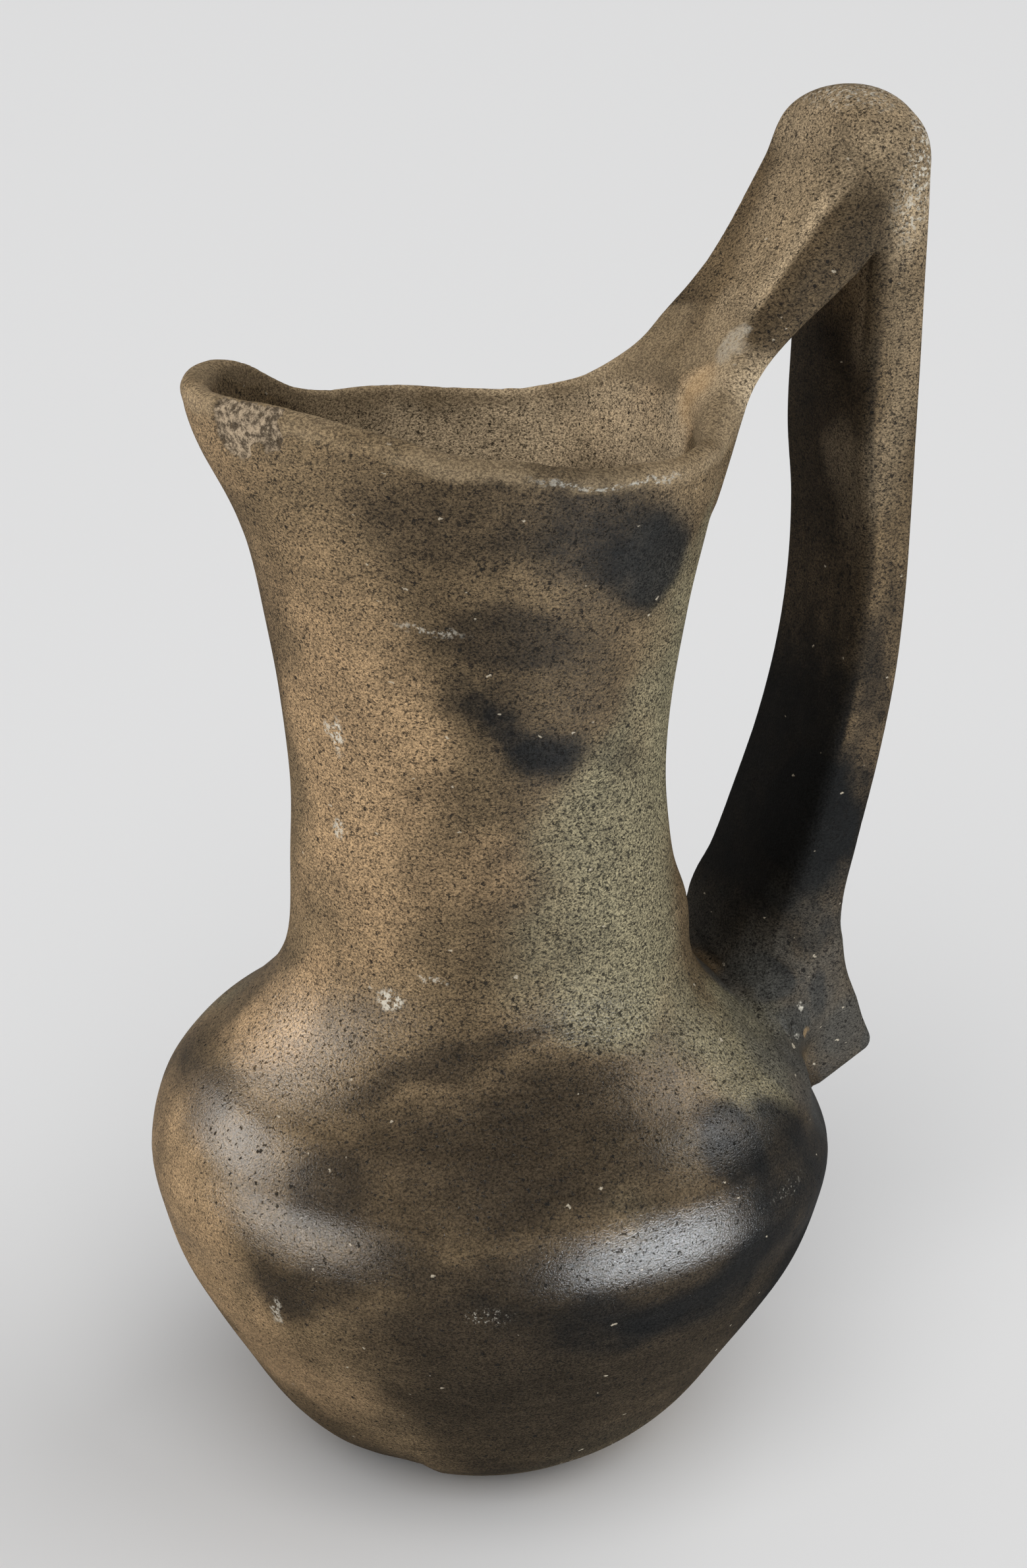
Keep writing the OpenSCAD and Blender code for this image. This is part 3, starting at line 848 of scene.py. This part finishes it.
# light flecks and rubbed marks
fleck_c = cells(vec("MULTIPLY", shaken(2.4, 2.0, 2.0), (0.7, 0.7, 1.4)), 5.0)
pick2 = node("ShaderNodeSeparateColor")
put(pick2.inputs[0], fleck_c.outputs["Color"])
fleck_r = span(pick2.outputs[1], 0.55, 1.0, 0.12, 0.50, "LINEAR")
fleck_r = num("MULTIPLY_ADD", mark("grey"), 0.30, fleck_r)
fleck = span(num("SUBTRACT", num("MULTIPLY", fleck_c.outputs["Distance"], 5.0), fleck_r), 0.1, -0.15)
fleck = num("MULTIPLY", fleck, span(num("MULTIPLY_ADD", mark("grey"), 0.22, pick2.outputs[1]), 0.6, 0.66))
colour = blend(num("MULTIPLY", fleck, 0.75), colour, (0.42, 0.36, 0.27))


def rubbed(v, at, r, turn, lo, hi, size=1.3):
    """A patch of small pale crumbs."""
    m = spot(v, at, r, turn, 0.5, 1.1)
    return num("MULTIPLY", m, span(mist(mm, size, 3.0, 0.7), lo, hi))


marks = join([
    (rubbed(sharp_at, (-47.8, -20.3, 216.5), (2.6, 2.6, 6), (0, 0, 0), 0.46, 0.56), 0.9),
    (rubbed(sharp_at, (-49.2, -17.1, 217.5), (1.6, 1.6, 2.6), (0, 0, 0), 0.46, 0.56), 0.7),
    (rubbed(sharp_at, (-47, -18, 190.8), (2.6, 2.6, 3), (0, 0, 0), 0.48, 0.58), 0.7),
    (rubbed(sharp_at, (-40.4, -33.9, 148.8), (4.5, 4.5, 3.2), (0, 0, 0), 0.46, 0.56), 0.9),
    (rubbed(sharp_at, (-30, -42, 247), (12, 10, 1.3), (0, 10, 0), 0.46, 0.6), 0.5),
    (rubbed(sharp_at, (-34, -44, 156), (8, 8, 1.2), (0, 16, 0), 0.46, 0.6), 0.6),
    (rubbed(sharp_at, (-78, -46, 74), (1.3, 3, 6), (12, 0, 0), 0.42, 0.56), 0.6),
    (rubbed(sharp_at, (64.8, -15.5, 305.8), (6.5, 6, 7), (0, 0, 0), 0.3, 0.5), 1.0),
    (rubbed(sharp_at, (86.8, -26.3, 118.6), (1.2, 1.2, 1.9), (0, 0, 0), 0.4, 0.6), 0.8),
    (rubbed(sharp_at, (83.7, -31.1, 112.6), (1.2, 1.2, 1.9), (0, 0, 0), 0.4, 0.6), 0.7),
    (rubbed(sharp_at, (-64, -54, 100), (20, 12, 3), (0, 8, 0), 0.55, 0.68, 0.9), 0.3),
    (rubbed(sharp_at, (-38, -88, 84), (8, 6, 4), (0, 0, 0), 0.56, 0.68, 0.9), 0.5),
    (rubbed(sharp_at, (50, -78, 96), (10, 8, 3), (0, 0, 0), 0.56, 0.68, 0.9), 0.4),
    (rubbed(sharp_at, (116, -10, 346), (8, 20, 26), (0, 14, 0), 0.5, 0.62), 0.95),
    (rubbed(sharp_at, (108, -2, 365), (14, 18, 5), (0, 0, 0), 0.5, 0.64), 0.7)])
colour = blend(marks, colour, (0.50, 0.46, 0.38))
orange = spot(sharp_at, (88.7, -27.9, 111.9), (2.0, 2.0, 2.0))
colour = blend(num("MULTIPLY", orange, 0.55), colour, (0.26, 0.17, 0.08))
ochre = spot(sharp_at, (57.0, -12.0, 293.5), (8, 8, 13), (0, 0, 0), 0.2, 1.2)
colour = blend(num("MULTIPLY", ochre, 0.6), colour, (0.52, 0.31, 0.13))

# the rim: worn to bare buff clay along the lip, with a pale edge here and there
below = num("ADD", mark("rim"), num("MULTIPLY", ragged, 8.0))
band = num("MULTIPLY", span(below, 6.5, 3.4), span(limb, 0.6, 0.2))
worn_lip = num("MULTIPLY", band, span(mist(mm, 22.0, 2.0, 0.5), 0.36, 0.56, 0.35, 1.0))
colour = blend(num("MULTIPLY", worn_lip, 0.62), colour, blend(span(grain, 0.35, 0.65), (0.16, 0.115, 0.07), (0.36, 0.27, 0.16)))
thin = span(num("ABSOLUTE", num("SUBTRACT", below, 3.4)), 1.0, 0.4)
white_lip = num("MULTIPLY", num("MULTIPLY", spot(mm, (12, -62, 285), (26, 12, 9)), thin), span(mist(vec("MULTIPLY", mm, (1, 1, 1.6)), 1.8, 3.0, 0.7), 0.44, 0.6))
colour = blend(num("MULTIPLY", white_lip, 0.6), colour, (0.48, 0.46, 0.40))

# the flaked patch under the spout shows the pale body of the clay
flaked = span(mark("flake"), 0.25, -0.35)
crumb = mist(mm, 2.0, 4.0, 0.78)
colour = blend(num("MULTIPLY", flaked, span(crumb, 0.26, 0.42)), colour,
               blend(span(crumb, 0.40, 0.62), (0.070, 0.052, 0.034), (0.40, 0.31, 0.21)))

# ---- gloss: burnished where smooth, dull where worn, gritty or on the handle
dull = join([(limb, 0.7), (worn_lip, 0.8), (flaked, 1.0), (marks, 0.7), (dark, 0.9), (span(Z, 128.0, 158.0), 0.65), (span(Z, 80.0, 72.0), 0.72), (inside, 0.4)])
gloss_noise = span(num("ADD", num("MULTIPLY", grain, 0.6), num("MULTIPLY", streak, 0.4)), 0.35, 0.65, -0.07, 0.09, "LINEAR")
roughness = num("ADD", span(dull, 0.0, 1.0, 0.34, 0.78, "LINEAR"), gloss_noise, clamp=True)

# ---- relief in mm
relief = num("MULTIPLY_ADD", grain, 0.26, num("MULTIPLY", streak, 0.10))
relief = num("MULTIPLY", relief, span(gritty, 0.0, 1.0, 0.35, 1.3, "LINEAR"))
relief = num("MULTIPLY_ADD", dark, -0.26, relief)
relief = num("MULTIPLY_ADD", num("MULTIPLY", flaked, crumb), 1.1, relief)
bump = node("ShaderNodeBump")
bump.inputs["Strength"].default_value = 1.0
bump.inputs["Distance"].default_value = 0.001
put(bump.inputs["Height"], relief)

shader = node("ShaderNodeBsdfPrincipled")
put(shader.inputs["Base Color"], colour)
put(shader.inputs["Roughness"], roughness)
put(shader.inputs["Normal"], bump.outputs[0])
shader.inputs["Specular IOR Level"].default_value = 0.14
put(shader.inputs["Coat Weight"], num("MULTIPLY", span(dull, 0.75, 0.0), 0.38))
put(shader.inputs["Coat Normal"], bump.outputs[0])
shader.inputs["Coat Roughness"].default_value = 0.19
shader.inputs["Coat IOR"].default_value = 1.9
out = node("ShaderNodeOutputMaterial")
put(out.inputs[0], shader.outputs[0])
mesh.materials.append(mat)

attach(pot, "root")
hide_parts("pitcher")

# ------------------------------------------------------------------ floor and light
fm = bpy.data.meshes.new("floor")
fm.from_pydata([(-150, -150, 0), (150, -150, 0), (150, 150, 0), (-150, 150, 0)], [], [(0, 1, 2, 3)])
floor = bpy.data.objects.new("floor", fm)
scene.collection.objects.link(floor)
fmat = bpy.data.materials.new("floor")
fmat.use_nodes = True
fb = fmat.node_tree.nodes["Principled BSDF"]
fb.inputs["Base Color"].default_value = (0.80, 0.80, 0.80, 1)
fb.inputs["Roughness"].default_value = 0.95
fb.inputs["Specular IOR Level"].default_value = 0.1
fm.materials.append(fmat)
floor.visible_glossy = False


def area(name, at, to, size, power, color=(1, 1, 1)):
    d = bpy.data.lights.new(name, "AREA")
    d.shape = "RECTANGLE"
    d.size, d.size_y = size
    d.energy = power
    d.color = color
    o = bpy.data.objects.new(name, d)
    scene.collection.objects.link(o)
    o.visible_camera = False
    o.location = from_view(*at)
    o.rotation_euler = (from_view(*to) - from_view(*at)).to_track_quat("-Z", "Y").to_euler()
    return o


def lights_only(light, target):
    group = bpy.data.collections.new(light.name + "_lit")
    group.objects.link(target)
    light.light_linking.receiver_collection = group


def sun(name, at, angle, power, target):
    d = bpy.data.lights.new(name, "SUN")
    d.angle = rad(angle)
    d.energy = power
    o = bpy.data.objects.new(name, d)
    scene.collection.objects.link(o)
    o.rotation_euler = (-from_view(*at)).to_track_quat("-Z", "Y").to_euler()
    o.visible_glossy = False
    lights_only(o, target)


for lamp in (area("left", (-0.76, 0.10, 0.46), (0, 0, 0.12), (0.52, 0.30), 3.15, (1, 0.98, 0.95)),
             area("low", (-0.52, -0.30, 0.120), (0, 0, 0.09), (0.50, 0.035), 1.5, (1, 0.98, 0.95)),
             area("right", (0.72, 0.14, 0.64), (0, 0, 0.12), (0.22, 0.20), 1.0, (0.97, 0.99, 1)),
             area("strip", (0.44, -0.37, 0.034), (0, 0, 0.09), (0.50, 0.028), 3.3, (0.9, 0.95, 1))):
    lights_only(lamp, pot)
sun("top", (-0.18, -0.40, 1), 60, 2.1, pot)
sun("shade", (0.72, 0.12, 0.72), 70, 1.10, floor)
sun("even", (-0.10, -0.90, 1), 60, 1.80, floor)
world = bpy.data.worlds.new("world")
scene.world = world
world.use_nodes = True
world.node_tree.nodes["Background"].inputs[0].default_value = (0.98, 0.985, 1, 1)
# the room is dimmer in what the burnished clay mirrors than in the light it gives
ray = world.node_tree.nodes.new("ShaderNodeLightPath")
dim = world.node_tree.nodes.new("ShaderNodeMapRange")
dim.inputs["To Min"].default_value = 0.27
dim.inputs["To Max"].default_value = 0.09
world.node_tree.links.new(ray.outputs["Is Glossy Ray"], dim.inputs["Value"])
world.node_tree.links.new(dim.outputs[0], world.node_tree.nodes["Background"].inputs[1])
scene.view_settings.view_transform = "Standard"

bpy.context.view_layer.update()
